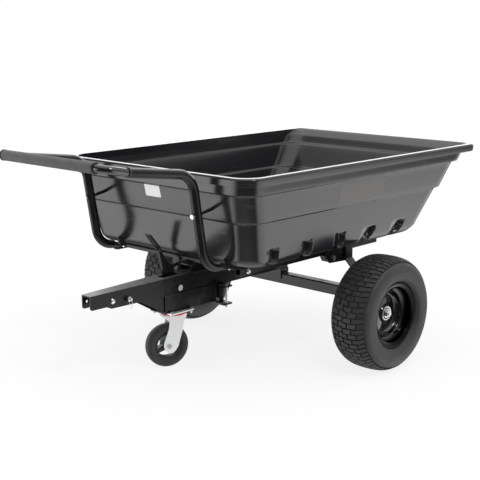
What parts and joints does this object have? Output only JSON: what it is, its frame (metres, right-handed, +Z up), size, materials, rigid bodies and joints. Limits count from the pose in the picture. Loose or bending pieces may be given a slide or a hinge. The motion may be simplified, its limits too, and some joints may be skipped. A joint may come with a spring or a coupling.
{
  "type": "garden trailer",
  "caption": "Garden dump trailer with a stepped poly tub that tips back about its axle, a tow bar with a swivel caster, a push handle and turf wheels.",
  "frame": {"origin": "middle of the bounding box's bottom face, on the ground under the trailer", "axes": "+Z up, -Y forward along the tow bar, +X the trailer's left; it stands 3.4 degrees nose-down on its caster"},
  "size_m": [1.124, 1.7256, 0.7757],
  "materials": {
    "tub_plastic": "satin black moulded poly",
    "frame_paint": "black powder coat",
    "tyre_rubber": "matte black rubber",
    "grip_rubber": "matte dark grey sleeve",
    "rim_paint": "gloss black paint",
    "zinc": "bright zinc plate",
    "seal_red": "red seal ring",
    "label_white": "blank white label",
    "core_plastic": "black moulded plastic"
  },
  "bodies": {
    "chassis": {"tow_bar": "frame_paint", "caster_box": "frame_paint", "tub_rest": "frame_paint", "clamp_plate_lower": "frame_paint", "clamp_plate_upper": "frame_paint", "clamp_spacer_left": "frame_paint", "clamp_spacer_right": "frame_paint", "clamp_bolt_left": "zinc", "clamp_bolt_right": "zinc", "lever_bolt": "zinc", "axle_beam": "frame_paint", "axle_saddle": "frame_paint", "spindle_plate_left": "frame_paint", "spindle_plate_right": "frame_paint", "stub_axle_left": "zinc", "stub_axle_right": "zinc", "hub_nut_left": "zinc", "hub_nut_right": "zinc", "caster_plate": "zinc", "caster_seal": "seal_red", "caster_kingpin": "zinc"},
    "tipping_tub": {"tub": "tub_plastic", "blank_label": "label_white", "tub_rail_left": "frame_paint", "tub_rail_right": "frame_paint", "rail_lug_left": "frame_paint", "rail_lug_right": "frame_paint", "bracket_plate_left": "frame_paint", "bracket_plate_right": "frame_paint", "bracket_bolt_left": "zinc", "bracket_bolt_right": "zinc", "bracket_strap_left": "frame_paint", "bracket_strap_right": "frame_paint", "crossbar_front": "frame_paint", "crossbar_rear": "frame_paint", "latch_striker": "frame_paint", "handle_leg_left": "frame_paint", "handle_leg_right": "frame_paint", "leg_bolt_left": "zinc", "leg_bolt_right": "zinc", "standoff_bolt_left": "zinc", "standoff_bolt_right": "zinc", "standoff_sleeve_left": "frame_paint", "standoff_sleeve_right": "frame_paint", "handle_loop": "rim_paint", "handle_grip": "grip_rubber"},
    "latch": {"latch_lever": "frame_paint", "lever_spring": "zinc"},
    "pin": {"hitch_pin": "zinc", "hitch_pin_ring": "zinc"},
    "fork": {"caster_fork": "zinc", "caster_axle": "zinc"},
    "caster_wheel": {"caster_core": "core_plastic", "caster_tyre": "tyre_rubber"},
    "wheel_left": {"tyre_left": "tyre_rubber", "rim_left": "rim_paint", "hub_bush_left": "core_plastic"},
    "wheel_right": {"tyre_right": "tyre_rubber", "rim_right": "rim_paint", "hub_bush_right": "core_plastic"}
  },
  "joints": [
    {"name": "tub_tilt", "type": "hinge", "parent": "chassis", "child": "tipping_tub", "pos_m": [0, 0.23861, 0.203], "axis": [-1, 0, 0], "range_deg": [0, 50]},
    {"name": "latch_pull", "type": "hinge", "parent": "chassis", "child": "latch", "pos_m": [0, -0.31213, 0.28348], "axis": [1, 0, 0], "range_deg": [0, 12], "stiffness_Nm_per_rad": 1.2, "springref_deg": -20.05},
    {"name": "pin_slide", "type": "slide", "parent": "chassis", "child": "pin", "axis": [1, 0, 0], "range_m": [0, 0.09]},
    {"name": "caster_swivel", "type": "hinge", "parent": "chassis", "child": "fork", "pos_m": [0, -0.30847, 0.18803], "axis": [0, -0.0593, 0.9982], "continuous": true},
    {"name": "caster_roll", "type": "hinge", "parent": "fork", "child": "caster_wheel", "pos_m": [-0.00899, -0.32413, 0.07648], "axis": [0.9272, -0.3739, -0.0222], "continuous": true},
    {"name": "wheel_left_roll", "type": "hinge", "parent": "chassis", "child": "wheel_left", "pos_m": [0.4795, 0.23861, 0.203], "axis": [1, 0, 0], "continuous": true},
    {"name": "wheel_right_roll", "type": "hinge", "parent": "chassis", "child": "wheel_right", "pos_m": [-0.4795, 0.23861, 0.203], "axis": [1, 0, 0], "continuous": true}
  ]
}
